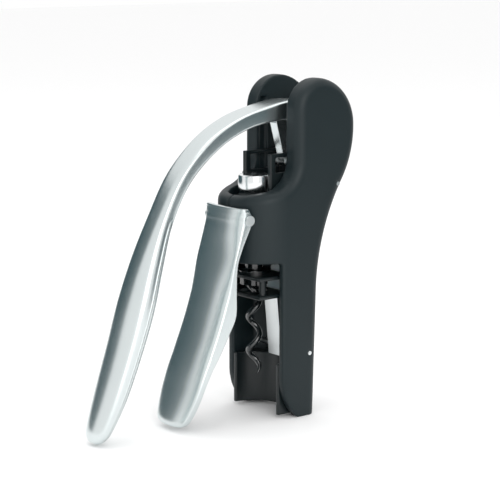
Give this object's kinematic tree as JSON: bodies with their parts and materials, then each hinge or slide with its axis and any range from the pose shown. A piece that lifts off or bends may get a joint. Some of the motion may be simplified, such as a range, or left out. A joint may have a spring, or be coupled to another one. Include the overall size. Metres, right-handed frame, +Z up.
{
  "type": "lever corkscrew",
  "caption": "Upright lever corkscrew: a long curved lever raises a carriage with a coated worm, and a sprung handle clamps the bottle's neck.",
  "frame": {"origin": "on the worm's axis, at the level of the surface the part stands on", "axes": "+Z up along the worm, -Y towards the lever's grip, +X towards the right cheek"},
  "size_m": [0.0424, 0.1401, 0.1588],
  "materials": {
    "satin_chrome": "satin chrome plate on cast zinc",
    "polished_chrome": "polished chrome plate",
    "soft_touch_black": "soft-touch coating, matte",
    "smooth_black": "smooth moulded nylon, slight sheen",
    "coated_steel": "low-friction black coating on steel",
    "stainless": "fine brushed stainless",
    "rubber": "matte rubber"
  },
  "bodies": {
    "body": {"shell_right": "soft_touch_black", "shell_left": "soft_touch_black", "neck_guide": "smooth_black", "body_pins": "stainless", "nut_carrier": "smooth_black", "worm_nut": "coated_steel", "latch_spring": "stainless", "latch_rivets": "stainless", "clamp_hinge_pin": "stainless", "clamp_springs": "stainless", "lever_axle": "stainless", "axle_spacers": "smooth_black", "carriage_bumper": "rubber"},
    "lever": {"lever_arm": "satin_chrome", "lever_back": "satin_chrome", "crank_arm": "satin_chrome", "crank_pin": "stainless", "crank_pin_rings": "stainless", "crank_rivets": "stainless"},
    "carriage": {"carriage": "smooth_black", "spindle_cap": "polished_chrome", "thrust_washer": "smooth_black"},
    "worm": {"worm": "coated_steel", "spindle_head": "stainless"},
    "clamp": {"clamp_handle": "satin_chrome", "clamp_jaw": "smooth_black"}
  },
  "joints": [
    {"name": "lever_swing", "type": "hinge", "parent": "body", "child": "lever", "pos_m": [0, 0.031, 0.1405], "axis": [-1, 0, 0], "range_deg": [0, 121.67]},
    {"name": "carriage_slide", "type": "slide", "parent": "body", "child": "carriage", "axis": [0, 0, 1], "range_m": [0, 0.0431]},
    {"name": "worm_spin", "type": "hinge", "parent": "carriage", "child": "worm", "pos_m": [0, 0, 0.06], "axis": [0, 0, 1], "range_deg": [0, 944.1]},
    {"name": "clamp_swing", "type": "hinge", "parent": "body", "child": "clamp", "pos_m": [0, -0.0146, 0.0955], "axis": [1, 0, 0], "range_deg": [0, 14], "stiffness_Nm_per_rad": 0.05, "springref_deg": -28.65}
  ],
  "couplings": [
    {"joint": "carriage_slide", "follows": "lever_swing", "m_per_rad": 0.02025},
    {"joint": "worm_spin", "follows": "lever_swing", "ratio": 7.7582}
  ]
}
